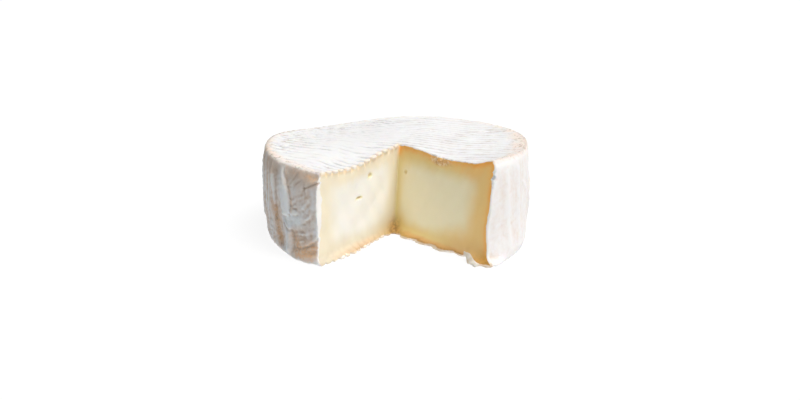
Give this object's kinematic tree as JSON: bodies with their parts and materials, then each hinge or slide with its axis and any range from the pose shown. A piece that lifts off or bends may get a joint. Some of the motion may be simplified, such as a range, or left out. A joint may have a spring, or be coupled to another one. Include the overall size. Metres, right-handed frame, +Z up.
{
  "type": "cheese wheel",
  "caption": "Small soft-ripened cheese wheel with a white ridged rind, pleated side and a wedge cut out that shows the pale paste.",
  "frame": {"origin": "the middle of the footprint's box, on the surface that the wheel lies on", "axes": "+Z up through the top rind; the cut-out wedge opens towards -Y, so its two cut faces look towards -Y and to each side"},
  "size_m": [0.139, 0.1326, 0.0501],
  "materials": {
    "cheese": "soft white mould rind, faintly pink and tan on the side; the cut paste is a moist ivory with a creamier band under the rind"
  },
  "bodies": {
    "root": {"cheese_wheel": "cheese"}
  },
  "joints": []
}
